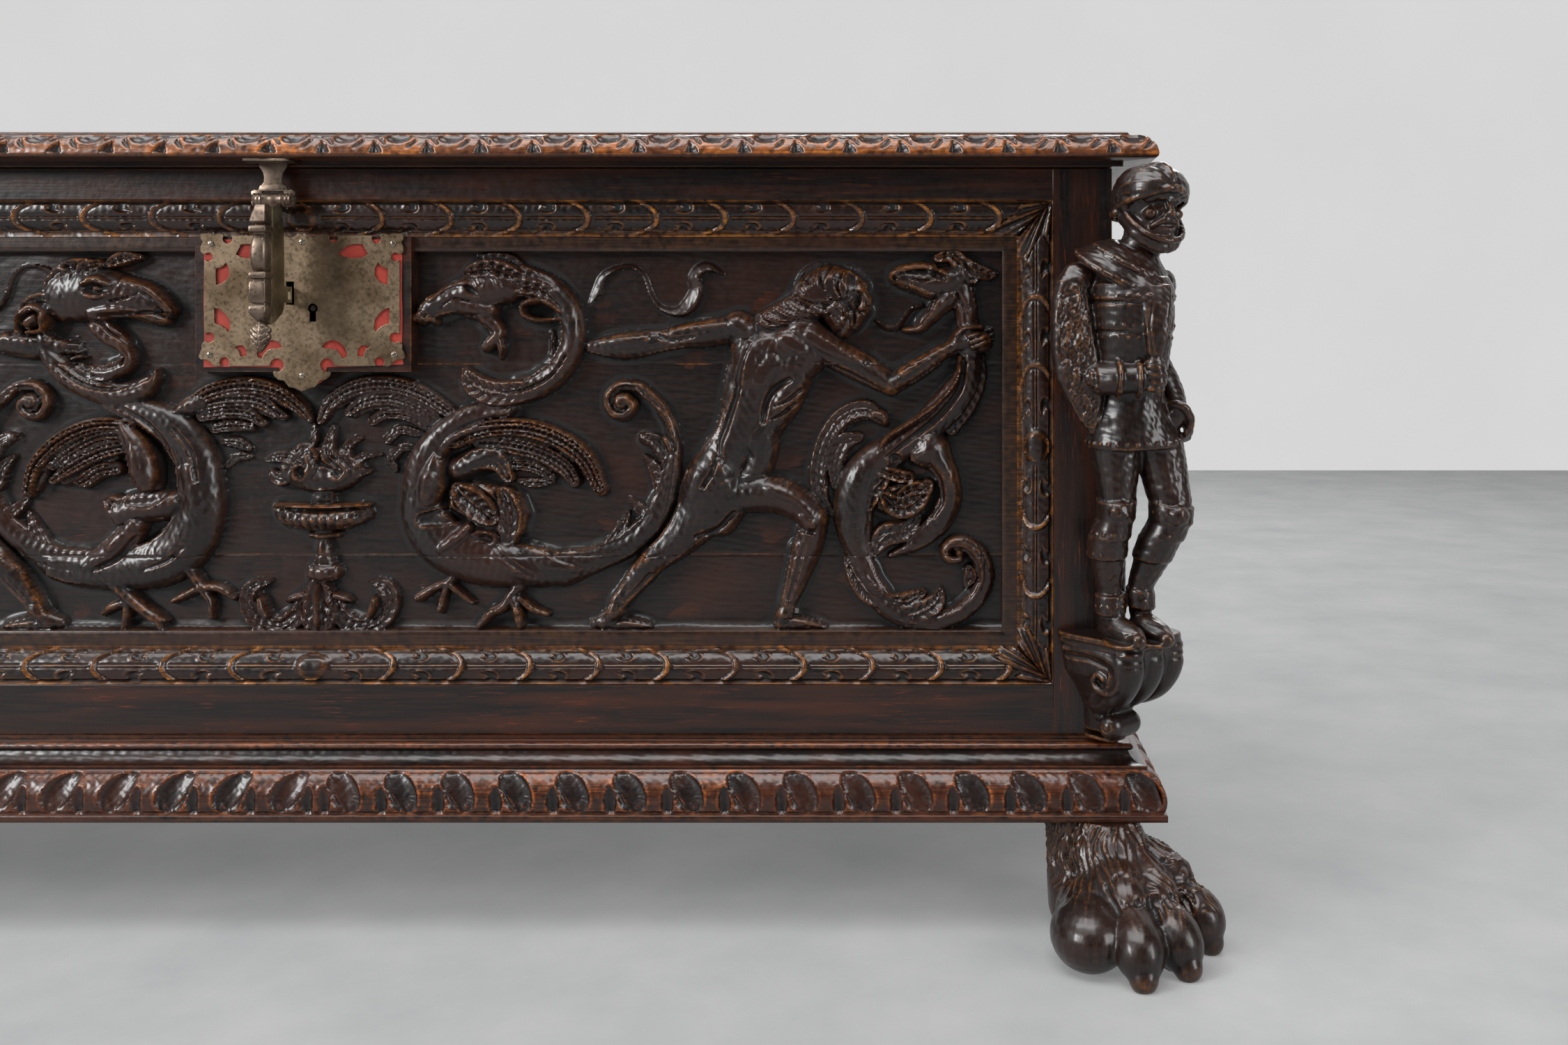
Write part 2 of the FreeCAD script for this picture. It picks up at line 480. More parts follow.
# Stages of the hasp's arm from the top: end of the stage as a share of the arm, width and depth as shares
HASP_STAGE_SHARES = (
    ("spike", 0.17, 0.70, 0.55),
    ("upper_fillet", 0.26, 1.0, 1.0),
    ("baluster", 0.60, 0.86, 0.86),
    ("middle_fillet", 0.68, 1.0, 1.0),
    ("block", 0.88, 0.94, 0.94),
    ("lower_fillet", 1.0, 1.0, 1.0),
)


class Dim:
    """A length that carries its number and the sheet expression behind it."""

    def __init__(self, number, text):
        self.number = float(number)
        self.text = text

    def __add__(self, other):
        other = as_dim(other)
        return Dim(self.number + other.number, "(" + self.text + " + " + other.text + ")")

    def __sub__(self, other):
        other = as_dim(other)
        return Dim(self.number - other.number, "(" + self.text + " - " + other.text + ")")

    def __mul__(self, share):
        share = as_dim(share)
        return Dim(self.number * share.number, "(" + self.text + " * " + share.text + ")")

    def __truediv__(self, share):
        share = as_dim(share)
        return Dim(self.number / share.number, "(" + self.text + " / " + share.text + ")")

    def __neg__(self):
        return Dim(-self.number, "(0 - " + self.text + ")")


def as_dim(value):
    """Give a Dim for a Dim or for a plain share."""
    if isinstance(value, Dim):
        return value
    return Dim(value, "(" + repr(float(value)) + ")")


doc = FreeCAD.newDocument("Cassone")
sheet = doc.addObject("Spreadsheet::Sheet", "Sizes")


class Sizes:
    """The driving dimensions, by name."""


sizes = Sizes()
for row, (alias, value, meaning) in enumerate(SIZES, start=1):
    sheet.set("A" + str(row), alias)
    sheet.set("B" + str(row), str(value))
    sheet.set("C" + str(row), meaning)
    sheet.setAlias("B" + str(row), alias)
    setattr(sizes, alias, Dim(value, "Sizes." + alias))
doc.recompute()

nodes = {}
ZERO = Dim(0, "0")


def keep(name, piece):
    """Enter a finished piece as a node of the chest."""
    piece.Label = name
    nodes[name] = piece
    return piece


def bind(piece, path, dim):
    """Bind one property of a piece to the sheet."""
    piece.setExpression(path, dim.text)


def place(piece, x, y, z):
    """Bind the place of a piece to the sheet."""
    piece.Placement.Base = FreeCAD.Vector(x.number, y.number, z.number)
    bind(piece, "Placement.Base.x", x)
    bind(piece, "Placement.Base.y", y)
    bind(piece, "Placement.Base.z", z)


def box(name, x, y, z):
    """A box between two places on each axis."""
    piece = doc.addObject("Part::Box", name)
    bind(piece, "Length", x[1] - x[0])
    bind(piece, "Width", y[1] - y[0])
    bind(piece, "Height", z[1] - z[0])
    place(piece, x[0], y[0], z[0])
    return piece


def rod(name, start, length, radius, axis):
    """A cylinder from a start point along +X, -Y or +Z."""
    piece = doc.addObject("Part::Cylinder", name)
    turns = {"x": FreeCAD.Rotation(ALONG_Y, 90), "y": FreeCAD.Rotation(ALONG_X, 90), "z": FreeCAD.Rotation()}
    piece.Placement.Rotation = turns[axis]
    bind(piece, "Radius", radius)
    bind(piece, "Height", length)
    place(piece, *start)
    return piece


def egg(name, middle, radii, turn):
    """An ellipsoid with radii along X, Y and Z, turned about Z."""
    piece = doc.addObject("Part::Ellipsoid", name)
    bind(piece, "Radius2", radii[0])
    bind(piece, "Radius3", radii[1])
    bind(piece, "Radius1", radii[2])
    piece.Placement.Rotation = FreeCAD.Rotation(ALONG_Z, turn)
    place(piece, *middle)
    return piece


def fuse(name, pieces):
    """Join pieces into one."""
    piece = doc.addObject("Part::MultiFuse", name)
    piece.Shapes = pieces
    piece.Refine = False
    return piece


def cut(name, base, tools):
    """Take the tools away from the base."""
    tool = tools[0] if len(tools) == 1 else fuse(name + "_tools", tools)
    piece = doc.addObject("Part::Cut", name)
    piece.Base = base
    piece.Tool = tool
    piece.Refine = False
    return piece


def mirrored(name, source):
    """The same piece on the other end of the chest."""
    piece = doc.addObject("Part::Mirroring", name)
    piece.Source = source
    piece.Normal = ALONG_X
    return piece


def group(name, pieces):
    """Separate solids that share one node."""
    piece = doc.addObject("Part::Compound", name)
    piece.Links = pieces
    return piece


def form(name, shape):
    """A piece whose shape comes from a function of the sizes."""
    piece = doc.addObject("Part::Feature", name)
    piece.Shape = shape
    return piece


s = sizes
FRONT = (s.paw_reach - s.body_depth - s.hinge_axis_back - s.hinge_radius) / 2
BACK = FRONT + s.body_depth
END = s.body_width / 2
BODY_Z = s.feet_height + s.base_height
BODY_TOP = BODY_Z + s.body_height
LID_Z = BODY_TOP + s.lid_gap
LID_TOP = LID_Z + s.lid_thick
OPENING_X = END - s.stile_width
OPENING_LOW = BODY_Z + s.bottom_rail_height
OPENING_HIGH = BODY_TOP - s.top_rail_height
GROUND = FRONT + s.panel_sink
FRAME_BACK = FRONT + s.frame_thick
HINGE_Y = BACK + s.hinge_axis_back
HINGE_Z = BODY_TOP + s.lid_gap / 2
HINGE_X = END - s.hinge_inset

LOCK_X = -s.lock_left
PLATE_TOP = BODY_TOP - s.lock_plate_top
PLATE_LOW = PLATE_TOP - s.lock_plate_height
PLATE_FACE = FRONT + s.lock_plate_sink
PLATE_BACK = PLATE_FACE + s.lock_plate_thick
CLOTH_BACK = PLATE_BACK + s.lock_cloth_thick
CASE_TOP = BODY_TOP - s.lock_case_drop
CASE_BACK = PLATE_BACK + s.lock_case_depth
AXIS_Z = BODY_TOP - s.hasp_axis_drop
HASP_X = -s.hasp_left
STAPLE_X = HASP_X + s.hasp_bar_width / 2 - s.hasp_web_thick / 2
STAPLE_Z = AXIS_Z - s.staple_drop
BOLT_Z = STAPLE_Z + s.staple_rise



def proud(dim):
    """The Y of a surface that stands before the front plane."""
    return FRONT - dim


def vector(x, y, z):
    """A point from three lengths."""
    return FreeCAD.Vector(x.number, y.number, z.number)


def closed_wire(corners, arcs):
    """A wire through the corners; arcs gives a middle point for the edge that starts at a corner."""
    edges = []
    for index, start in enumerate(corners):
        end = corners[(index + 1) % len(corners)]
        if index in arcs:
            edges.append(Part.Arc(start, arcs[index], end).toShape())
        else:
            edges.append(Part.LineSegment(start, end).toShape())
    return Part.Wire(edges)


def stick(name, outline, arcs, start, end):
    """A moulding of one outline between two end planes; start and end turn an outline point into a point."""
    wires = []
    for lay in (start, end):
        corners = [lay(*point) for point in outline]
        middles = {index: lay(*point) for index, point in arcs.items()}
        wires.append(closed_wire(corners, middles))
    return keep(name, form(name, Part.makeLoft(wires, True, True)))


# Front frame
def front_frame():
    """Two stiles with the rails between them."""
    depth = (FRONT, FRAME_BACK)
    keep("front_stile_left", box("front_stile_left", (-END, -OPENING_X), depth, (BODY_Z, BODY_TOP)))
    keep("front_stile_right", box("front_stile_right", (OPENING_X, END), depth, (BODY_Z, BODY_TOP)))
    across = (-OPENING_X, OPENING_X)
    keep("front_top_rail", box("front_top_rail", across, depth, (OPENING_HIGH, BODY_TOP)))
    keep("front_bottom_rail", box("front_bottom_rail", across, depth, (BODY_Z, OPENING_LOW)))


# Carcase boards
def carcase_boards():
    """End, back and bottom boards and the plinth under them."""
    side_depth = (FRAME_BACK, BACK - s.back_thick)
    joint = BODY_Z + s.side_joint_height
    inner = END - s.side_thick
    for side, across in (("left", (-END, -inner)), ("right", (inner, END))):
        lower = "end_board_lower_" + side
        upper = "end_board_upper_" + side
        keep(lower, box(lower, across, side_depth, (BODY_Z, joint)))
        keep(upper, box(upper, across, side_depth, (joint, BODY_TOP)))
    back_depth = (BACK - s.back_thick, BACK)
    keep("back_stile_left", box("back_stile_left", (-END, -OPENING_X), back_depth, (BODY_Z, BODY_TOP)))
    keep("back_stile_right", box("back_stile_right", (OPENING_X, END), back_depth, (BODY_Z, BODY_TOP)))
    joint = BODY_Z + s.back_joint_height
    across = (-OPENING_X, OPENING_X)
    keep("back_board_lower", box("back_board_lower", across, back_depth, (BODY_Z, joint)))
    upper = box("back_board_upper_blank", across, back_depth, (joint, BODY_TOP))
    pilots = hinge_screws("lower_pilot", "lower", s.pilot_gap)
    keep("back_board_upper", cut("back_board_upper", upper, [pilots]))
    across = (-inner, inner)
    rise = (BODY_Z, BODY_Z + s.bottom_thick)
    middle = (FRAME_BACK + BACK - s.back_thick) / 2
    keep("bottom_board_front", box("bottom_board_front", across, (FRAME_BACK, middle), rise))
    keep("bottom_board_back", box("bottom_board_back", across, (middle, BACK - s.back_thick), rise))
    rise = (s.feet_height, BODY_Z)
    front = (FRONT, FRONT + s.plinth_thick)
    back = (BACK - s.plinth_thick, BACK)
    keep("plinth_front", box("plinth_front", (-END, END), front, rise))
    keep("plinth_back", box("plinth_back", (-END, END), back, rise))
    between = (FRONT + s.plinth_thick, BACK - s.plinth_thick)
    inner = END - s.plinth_thick
    keep("plinth_left", box("plinth_left", (-END, -inner), between, rise))
    keep("plinth_right", box("plinth_right", (inner, END), between, rise))


# Carved front panel
def case_space(name, gap):
    """The lock case's space in the wood."""
    across = (LOCK_X - s.lock_case_width / 2 - gap, LOCK_X + s.lock_case_width / 2 + gap)
    depth = (FRONT + s.lock_plate_sink, CASE_BACK + gap)
    rise = (CASE_TOP - s.lock_case_height - gap, CASE_TOP + gap)
    return box(name, across, depth, rise)


def ribbon(rows, height, root, low, half, rise, side):
    """One flat-topped form of the carving, standing from inside the board, from its middle line."""
    line = [FreeCAD.Vector(side * half * out, 0, low + rise * up) for out, up, _ in rows]
    left = []
    right = []
    for index, middle_point in enumerate(line):
        ahead = line[min(index + 1, len(line) - 1)] - line[max(index - 1, 0)]
        across = FreeCAD.Vector(ahead.z, 0, -ahead.x).normalize() * (rise * rows[index][2])
        left.append(middle_point + across)
        right.append(middle_point - across)
    outline = [FreeCAD.Vector(point.x, root, point.z) for point in left + right[::-1]]
    face = Part.Face(Part.makePolygon(outline + outline[:1]))
    return face.extrude(FreeCAD.Vector(0, GROUND.number - height - root, 0))


def relief():
    """The carving's main forms as one piece, clear of the fillets and of the lock's block."""
    edge = s.leaf_width + s.leaf_fillet_width
    half = OPENING_X - edge
    low = OPENING_LOW + edge
    high = OPENING_HIGH - edge
    root = GROUND + s.panel_thick / 2
    field = (half.number, (high - low).number)
    forms = []
    for sides, shares in (((1, -1), RELIEF_PAIR_SHARES), ((1,), RELIEF_SINGLE_SHARES)):
        for _, height, rows in shares:
            tall = s.relief_height.number * height
            forms += [ribbon(rows, tall, root.number, low.number, *field, side) for side in sides]
    whole = form("relief_forms", forms[0].multiFuse(forms[1:]).removeSplitter())
    margin = s.relief_margin
    depth = (GROUND - s.relief_height - s.overrun, root)
    inside = box("relief_field", (-half + margin, half - margin), depth, (low + margin, high - margin))
    side = s.lock_plate_width / 2 + s.lock_block_side + margin
    foot = OPENING_HIGH - s.leaf_width - s.lock_block_height - margin
    block = box("relief_block_space", (LOCK_X - side, LOCK_X + side), depth, (foot, OPENING_HIGH))
    return cut("relief", common("relief_inside", whole, inside), [block])


def front_panel():
    """Three glued boards behind the mouldings, with the carving's main forms standing from them."""
    across = (-OPENING_X, OPENING_X)
    depth = (GROUND, GROUND + s.panel_thick)
    reach = (GROUND - s.relief_height - s.overrun, GROUND + s.panel_thick)
    low = OPENING_LOW + s.lower_board_height
    high = OPENING_HIGH - s.upper_board_height
    rises = {"lower": (OPENING_LOW, low), "middle": (low, high), "upper": (high, OPENING_HIGH)}
    carving = relief()
    for side, rise in rises.items():
        name = "panel_board_" + side
        blank = box(name + "_blank", across, depth, rise)
        share = common(name + "_carving", carving, box(name + "_reach", across, reach, rise))
        board = fuse(name + "_carved", [blank, share])
        if side == "upper":
            board = cut(name, board, [case_space("panel_mortise", s.running_gap)])
        keep(name, board)


def leaf_mouldings():
    """Four mitred sticks round the panel, each a carved ovolo with its fillet."""
    edge = ZERO
    width = s.leaf_width
    full = s.leaf_width + s.leaf_fillet_width
    outline = (
        (edge, -s.panel_sink),
        (edge, s.leaf_edge_proud),
        (width, -s.leaf_inner_sink),
        (width, -s.leaf_fillet_sink),
        (full, -s.leaf_fillet_sink),
        (full, -s.panel_sink),
    )
    arcs = {1: (s.leaf_crest_setback, s.leaf_crest_proud)}

    def corner(right, high):
        """Lay an outline point in the mitre plane of one corner."""
        def lay(inward, out):
            x = OPENING_X - inward if right else inward - OPENING_X
            z = OPENING_HIGH - inward if high else OPENING_LOW + inward
            return vector(x, proud(out), z)
        return lay

    stick("leaf_moulding_top", outline, arcs, corner(False, True), corner(True, True))
    stick("leaf_moulding_bottom", outline, arcs, corner(False, False), corner(True, False))
    stick("leaf_moulding_left", outline, arcs, corner(False, False), corner(False, True))
    stick("leaf_moulding_right", outline, arcs, corner(True, False), corner(True, True))


# Mouldings that run round the front and both ends
def wrap(name, outline, arcs, finish):
    """Mitred sticks on the front and both ends of the chest."""
    def front_corner(side):
        """Lay a point in the front mitre of one side."""
        def lay(out, rise):
            x = (END + out) if side > 0 else -(END + out)
            return vector(x, proud(out), rise)
        return lay

    def back_end(side):
        """Lay a point in the square end at the back."""
        def lay(out, rise):
            x = (END + out) if side > 0 else -(END + out)
            return vector(x, finish, rise)
        return lay

    stick(name + "_front", outline, arcs, front_corner(-1), front_corner(1))
    stick(name + "_left", outline, arcs, front_corner(-1), back_end(-1))
    stick(name + "_right", outline, arcs, front_corner(1), back_end(1))


def base_mouldings():
    """Cap and hollow above, gadroon below."""
    middle = s.feet_height + s.gadroon_height
    height = s.base_height - s.gadroon_height

    def ogee(key):
        """A named point of the upper moulding."""
        reach, rise = OGEE_SHARES[key]
        return (s.base_overhang * reach, middle + height * rise)

    def gadroon(key):
        """A named point of the lower moulding."""
        reach, rise = GADROON_SHARES[key]
        return (s.base_overhang * reach, s.feet_height + s.gadroon_height * rise)

    outline = (
        (ZERO, middle), ogee("foot"), ogee("quirk"), ogee("neck"), ogee("bead_top"),
        ogee("cap_back"), ogee("cap_top"), (ZERO, BODY_Z),
    )
    wrap("base_ogee", outline, {2: ogee("hollow"), 3: ogee("bead")}, BACK)
    reach = OGEE_SHARES["foot"][0]
    outline = (
        (ZERO, s.feet_height), gadroon("foot"), gadroon("fillet_top"), gadroon("fillet_back"),
        gadroon("shoulder"), (s.base_overhang * reach, middle), (ZERO, middle),
    )
    wrap("base_gadroon", outline, {3: gadroon("swell")}, BACK)


# Lid
def lid():
    """Two glued boards with carved edges on the front and both ends."""
    reach = s.lid_overhang - s.lid_board_reach
    foot = LID_TOP - s.lid_edge_height

    def edge(key):
        """A named point of the lid's edge."""
        out, rise = LID_EDGE_SHARES[key]
        return (s.lid_board_reach + reach * out, foot + s.lid_edge_height * rise)

    shoulder = edge("shoulder")
    outline = (
        (s.lid_board_reach, foot), edge("foot"), edge("lip"), shoulder,
        (shoulder[0], LID_TOP), (s.lid_board_reach, LID_TOP),
    )
    wrap("lid_edge", outline, {2: edge("swell")}, BACK)
    side = END + s.lid_board_reach
    joint = BACK - s.lid_joint_depth
    rise = (LID_Z, LID_TOP)
    front = box("lid_board_front_blank", (-side, side), (proud(s.lid_board_reach), joint), rise)
    keep("lid_board_front", cut("lid_board_front", front, [strap_recess("strap_recess")]))
    back = box("lid_board_back_blank", (-side, side), (joint, BACK), rise)
    keep("lid_board_back", cut("lid_board_back", back, [hinge_screws("upper_pilot", "upper", s.pilot_gap)]))


# Lid hinges


def hinge_screw_places(half):
    """Screw places of one leaf: three in a triangle on the tall leaf, three in a row on the low one."""
    spread = s.hinge_width / 3
    if half == "upper":
        height = LID_TOP - s.hinge_upper_height / 2 + s.hinge_leaf_thick / 2
        return ((-spread, height), (ZERO, height), (spread, height))
    top = HINGE_Z - s.hinge_leaf_height / 3
    low = HINGE_Z - s.hinge_leaf_height * 4 / 5
    return ((-spread, top), (spread, top), (ZERO, low))


def hinge_screws(name, half, gap):
    """Screws of the two lid hinges; with a gap, the holes for them."""
    pieces = []
    face = BACK + s.hinge_leaf_thick
    start = BACK + s.hinge_leaf_thick - s.hinge_screw_length - gap
    for side in (-1, 1):
        for index, (across, height) in enumerate(hinge_screw_places(half)):
            label = name + "_" + ("l" if side < 0 else "r") + str(index)
            x = HINGE_X * side + across
            end = face if gap.number == 0 else face + s.overrun
            shank = rod(label + "_shank", (x, end, height), end - start, s.hinge_screw_radius + gap, "y")
            if gap.number == 0:
                head = rod(label + "_head", (x, face + s.screw_head_height, height), s.screw_head_height,
                           s.hinge_screw_head, "y")
                shank = fuse(label, [shank, head])
            pieces.append(shank)
    return fuse(name, pieces) if gap.number else group(name, pieces)


def lid_hinges():
    """Lower leaves on the back boards, upper leaves on the lid, one pin each."""
    leaf = (BACK, BACK + s.hinge_leaf_thick)
    pins = []
    for side, word in ((-1, "left"), (1, "right")):
        x = HINGE_X * side
        left = x - s.hinge_width / 2
        middle = x - s.hinge_middle / 2
        bore_length = s.hinge_width + s.overrun * 2
        bore_start = (left - s.overrun, HINGE_Y, HINGE_Z)
        lower = box("lower_leaf_" + word, (left, x + s.hinge_width / 2), leaf,
                    (HINGE_Z - s.hinge_leaf_height, HINGE_Z))
        end = (s.hinge_width - s.hinge_middle) / 2
        first = rod("lower_first_" + word, (left, HINGE_Y, HINGE_Z), end, s.hinge_radius, "x")
        second = rod("lower_second_" + word, (middle + s.hinge_middle, HINGE_Y, HINGE_Z), end,
                     s.hinge_radius, "x")
        blank = fuse("lower_blank_" + word, [lower, first, second])
        window = box("lower_window_" + word,
                     (middle - s.running_gap, middle + s.hinge_middle + s.running_gap),
                     (BACK - s.overrun, HINGE_Y + s.hinge_radius + s.overrun),
                     (HINGE_Z - s.hinge_radius - s.running_gap * 2, LID_TOP))
        bore = rod("lower_bore_" + word, bore_start, bore_length, s.hinge_pin_radius, "x")
        name = "hinge_leaf_lower_" + word
        holes = hinge_screws("lower_holes_" + word, "lower", s.pilot_gap)
        keep(name, cut(name, blank, [window, bore, holes]))
        upper = box("upper_leaf_" + word, (left, x + s.hinge_width / 2), leaf,
                    (LID_TOP - s.hinge_upper_height - s.hinge_leaf_thick, LID_TOP - s.hinge_leaf_thick))
        neck = box("upper_neck_" + word, (middle, middle + s.hinge_middle), leaf,
                   (HINGE_Z, LID_TOP - s.hinge_upper_height))
        barrel = rod("upper_barrel_" + word, (middle, HINGE_Y, HINGE_Z), s.hinge_middle, s.hinge_radius, "x")
        blank = fuse("upper_blank_" + word, [upper, neck, barrel])
        bore = rod("upper_bore_" + word, bore_start, bore_length, s.hinge_pin_radius + s.pin_gap, "x")
        name = "hinge_leaf_upper_" + word
        holes = hinge_screws("upper_holes_" + word, "upper", s.pilot_gap)
        keep(name, cut(name, blank, [bore, holes]))
        pins.append(rod("hinge_pin_" + word, (left, HINGE_Y, HINGE_Z), s.hinge_width,
                        s.hinge_pin_radius, "x"))
    keep("hinge_pins", group("hinge_pins", pins))
    keep("hinge_screws", hinge_screws("hinge_screws", "lower", ZERO))
    keep("lid_screws", hinge_screws("lid_screws", "upper", ZERO))


# Limbs of the carved figures
def limb(name, origin, unit, ends):
    """A tapered limb with two round ends, turned about its own line, from shares of the unit."""
    centres = []
    radii = []
    for out, forward, up, radius in ends:
        centres.append(vector(origin[0] + unit * out, origin[1] - unit * forward, origin[2] + unit * up))
        radii.append(unit.number * radius)
    line = centres[1] - centres[0]
    lean = math.asin((radii[0] - radii[1]) / line.Length)

    def on_ball(index, angle):
        """A point of the half outline, on one end's ball."""
        along = line.Length * index + radii[index] * math.sin(angle)
        return FreeCAD.Vector(radii[index] * math.cos(angle), 0, along)

    foot = on_ball(0, -math.pi / 2)
    tip = on_ball(1, math.pi / 2)
    first = Part.Arc(foot, on_ball(0, (lean - math.pi / 2) / 2), on_ball(0, lean)).toShape()
    side = Part.LineSegment(on_ball(0, lean), on_ball(1, lean)).toShape()
    last = Part.Arc(on_ball(1, lean), on_ball(1, (lean + math.pi / 2) / 2), tip).toShape()
    axis = Part.LineSegment(tip, foot).toShape()
    shape = Part.Face(Part.Wire([first, side, last, axis])).revolve(FreeCAD.Vector(), ALONG_Z, 360)
    piece = form(name, Part.Solid(shape) if shape.ShapeType != "Solid" else shape)
    piece.Placement = FreeCAD.Placement(centres[0], FreeCAD.Rotation(ALONG_Z, line))
    return piece


def common(name, base, tool):
    """Keep what two pieces share."""
    piece = doc.addObject("Part::Common", name)
    piece.Base = base
    piece.Tool = tool
    return piece


# Paw feet
def paw_feet():
    """Four lion's paws, the back pair turned the same way as the front pair."""
    unit = s.paw_length
    for end, depth in (("front", FRONT - s.paw_reach + s.paw_length), ("back", BACK - s.paw_back_inset)):
        middle = END - s.paw_side
        pieces = []
        for name, *ends in PAW_LIMB_SHARES:
            pieces.append(limb("paw_" + name + "_" + end, (middle, depth, ZERO), unit, ends))
        whole = fuse("paw_whole_" + end, pieces)
        room = unit * 2
        block = box("paw_block_" + end, (middle - room, middle + room), (depth - room, depth + room),
                    (ZERO, s.feet_height))
        right = keep("paw_foot_" + end + "_right", common("paw_foot_" + end + "_right", whole, block))
        keep("paw_foot_" + end + "_left", mirrored("paw_foot_" + end + "_left", right))


# Corner brackets and knights
def carcase_corner(name, grow):
    """The right front corner of the carcase, to be cut from what is planted on it."""
    return box(name, (ZERO, END + grow), (FRONT - grow, BACK), (BODY_Z - s.overrun, BODY_TOP + s.overrun))


def brackets():
    """Fan-shaped consoles on the front corners."""
    reach = s.bracket_reach
    wires = []
    for rise, share in BRACKET_SECTION_SHARES:
        z = BODY_Z + s.bracket_height * rise
        near = reach * BRACKET_CORNER_SHARE * share
        far = reach * share
        back = reach * BRACKET_BACK_SHARE * share
        corners = (
            vector(END - back, proud(-near), z), vector(END - back, proud(ZERO), z),
            vector(END + near, proud(far), z), vector(END + far, proud(near), z),
            vector(END, proud(-back), z), vector(END - near, proud(-back), z),
        )
        wires.append(Part.makePolygon(list(corners) + [corners[0]]))
    fan = form("bracket_fan", Part.makeLoft(wires, True, True))
    right = cut("bracket_right", fan, [carcase_corner("bracket_corner", ZERO)])
    keep("bracket_right", right)
    keep("bracket_left", mirrored("bracket_left", right))


def knights():
    """Standing figures in armour, each planted on its corner."""
    x = END + s.knight_out
    y = proud(s.knight_proud)
    z = BODY_Z + s.bracket_height
    unit = BODY_TOP - s.knight_headroom - z
    trunk = flat_body("knight_trunk", x, y, z)
    outline = front_sketch(trunk, "trunk_outline")
    draw_polygon(outline, [(unit * radius, unit * up) for radius, up in TRUNK_SHARES])
    turned = trunk.newObject("PartDesign::Revolution", "trunk_turned")
    turned.Profile = outline
    turned.ReferenceAxis = (outline, ["V_Axis"])
    block = KNIGHT_BLOCK_SHARES
    back = box("knight_block", (x - unit * block["left"], x + unit * block["right"]),
               (y - unit * block["front"], y - unit * block["back"]), (z, z + unit * block["top"]))
    shield = flat_body("knight_shield", x, y - unit * SHIELD_FORWARD_SHARE, z)
    outline = front_sketch(shield, "shield_outline")
    draw_polygon(outline, [(unit * out, unit * up) for out, up in SHIELD_SHARES])
    pad(shield, outline, "shield_sheet", unit * SHIELD_THICK_SHARE)
    pieces = [trunk, back, shield]
    for name, *ends in KNIGHT_LIMB_SHARES:
        pieces.append(limb("knight_" + name, (x, y, z), unit, ends))
    whole = fuse("knight_whole", pieces)
    room = unit / 2
    slab = box("knight_slab", (x - room, x + room), (y - room, y + room), (z, z + unit + room))
    trimmed = common("knight_trimmed", whole, slab)
    right = cut("knight_right", trimmed, [carcase_corner("knight_corner", ZERO)])
    keep("knight_right", right)
    keep("knight_left", mirrored("knight_left", right))


# Lock


def plate_point(across, rise):
    """A place on the lock plate from shares of half its width and of its height."""
    return (s.lock_plate_width / 2 * across, s.lock_plate_height * rise)


def flat_body(name, x, y, z):
    """A body whose sketches lie in the front plane, with its place bound to the sheet."""
    body = doc.addObject("PartDesign::Body", name)
    place(body, x, y, z)
    return body


def front_sketch(body, name):
    """A sketch on the body's own front plane."""
    sketch = body.newObject("Sketcher::SketchObject", name)
    plane = next(item for item in body.Origin.OriginFeatures if item.Role == "XZ_Plane")
    sketch.AttachmentSupport = [(plane, "")]
    sketch.MapMode = "FlatFace"
    return sketch


def draw_polygon(sketch, points):
    """Draw a closed outline through points given as lengths."""
    count = len(points)
    first = sketch.GeometryCount
    for index, start in enumerate(points):
        end = points[(index + 1) % count]
        line = Part.LineSegment(FreeCAD.Vector(start[0].number, start[1].number, 0),
                                FreeCAD.Vector(end[0].number, end[1].number, 0))
        sketch.addGeometry(line, False)
    for index in range(count):
        follower = first + (index + 1) % count
        sketch.addConstraint(Sketcher.Constraint("Coincident", first + index, 2, follower, 1))


def draw_circle(sketch, middle, radius, label):
    """Draw a circle whose place and radius are bound to the sheet."""
    centre = FreeCAD.Vector(middle[0].number, middle[1].number, 0)
    index = sketch.addGeometry(Part.Circle(centre, ALONG_Z, radius.number), False)
    for kind, dim in (("Radius", radius), ("DistanceX", middle[0]), ("DistanceY", middle[1])):
        if kind == "Radius":
            constraint = Sketcher.Constraint(kind, index, dim.number)
        else:
            constraint = Sketcher.Constraint(kind, -1, 1, index, 3, dim.number)
        number = sketch.addConstraint(constraint)
        sketch.renameConstraint(number, label + kind)
        sketch.setExpression("Constraints." + label + kind, dim.text)


def draw_rectangle(sketch, low, high):
    """Draw a rectangle between two corners."""
    draw_polygon(sketch, (low, (high[0], low[1]), high, (low[0], high[1])))


def pad(body, sketch, name, length):
    """Pad a sketch towards the front."""
    feature = body.newObject("PartDesign::Pad", name)
    feature.Profile = sketch
    bind(feature, "Length", length)
    doc.recompute()
    return feature


def pocket(body, sketch, name):
    """Cut a sketch through the whole sheet."""
    before = body.Shape.Volume
    feature = body.newObject("PartDesign::Pocket", name)
    feature.Profile = sketch
    feature.Type = "ThroughAll"
    feature.Reversed = True
    doc.recompute()
    if not body.Shape.Volume < before:
        raise RuntimeError(name + " cuts nothing")
    return feature


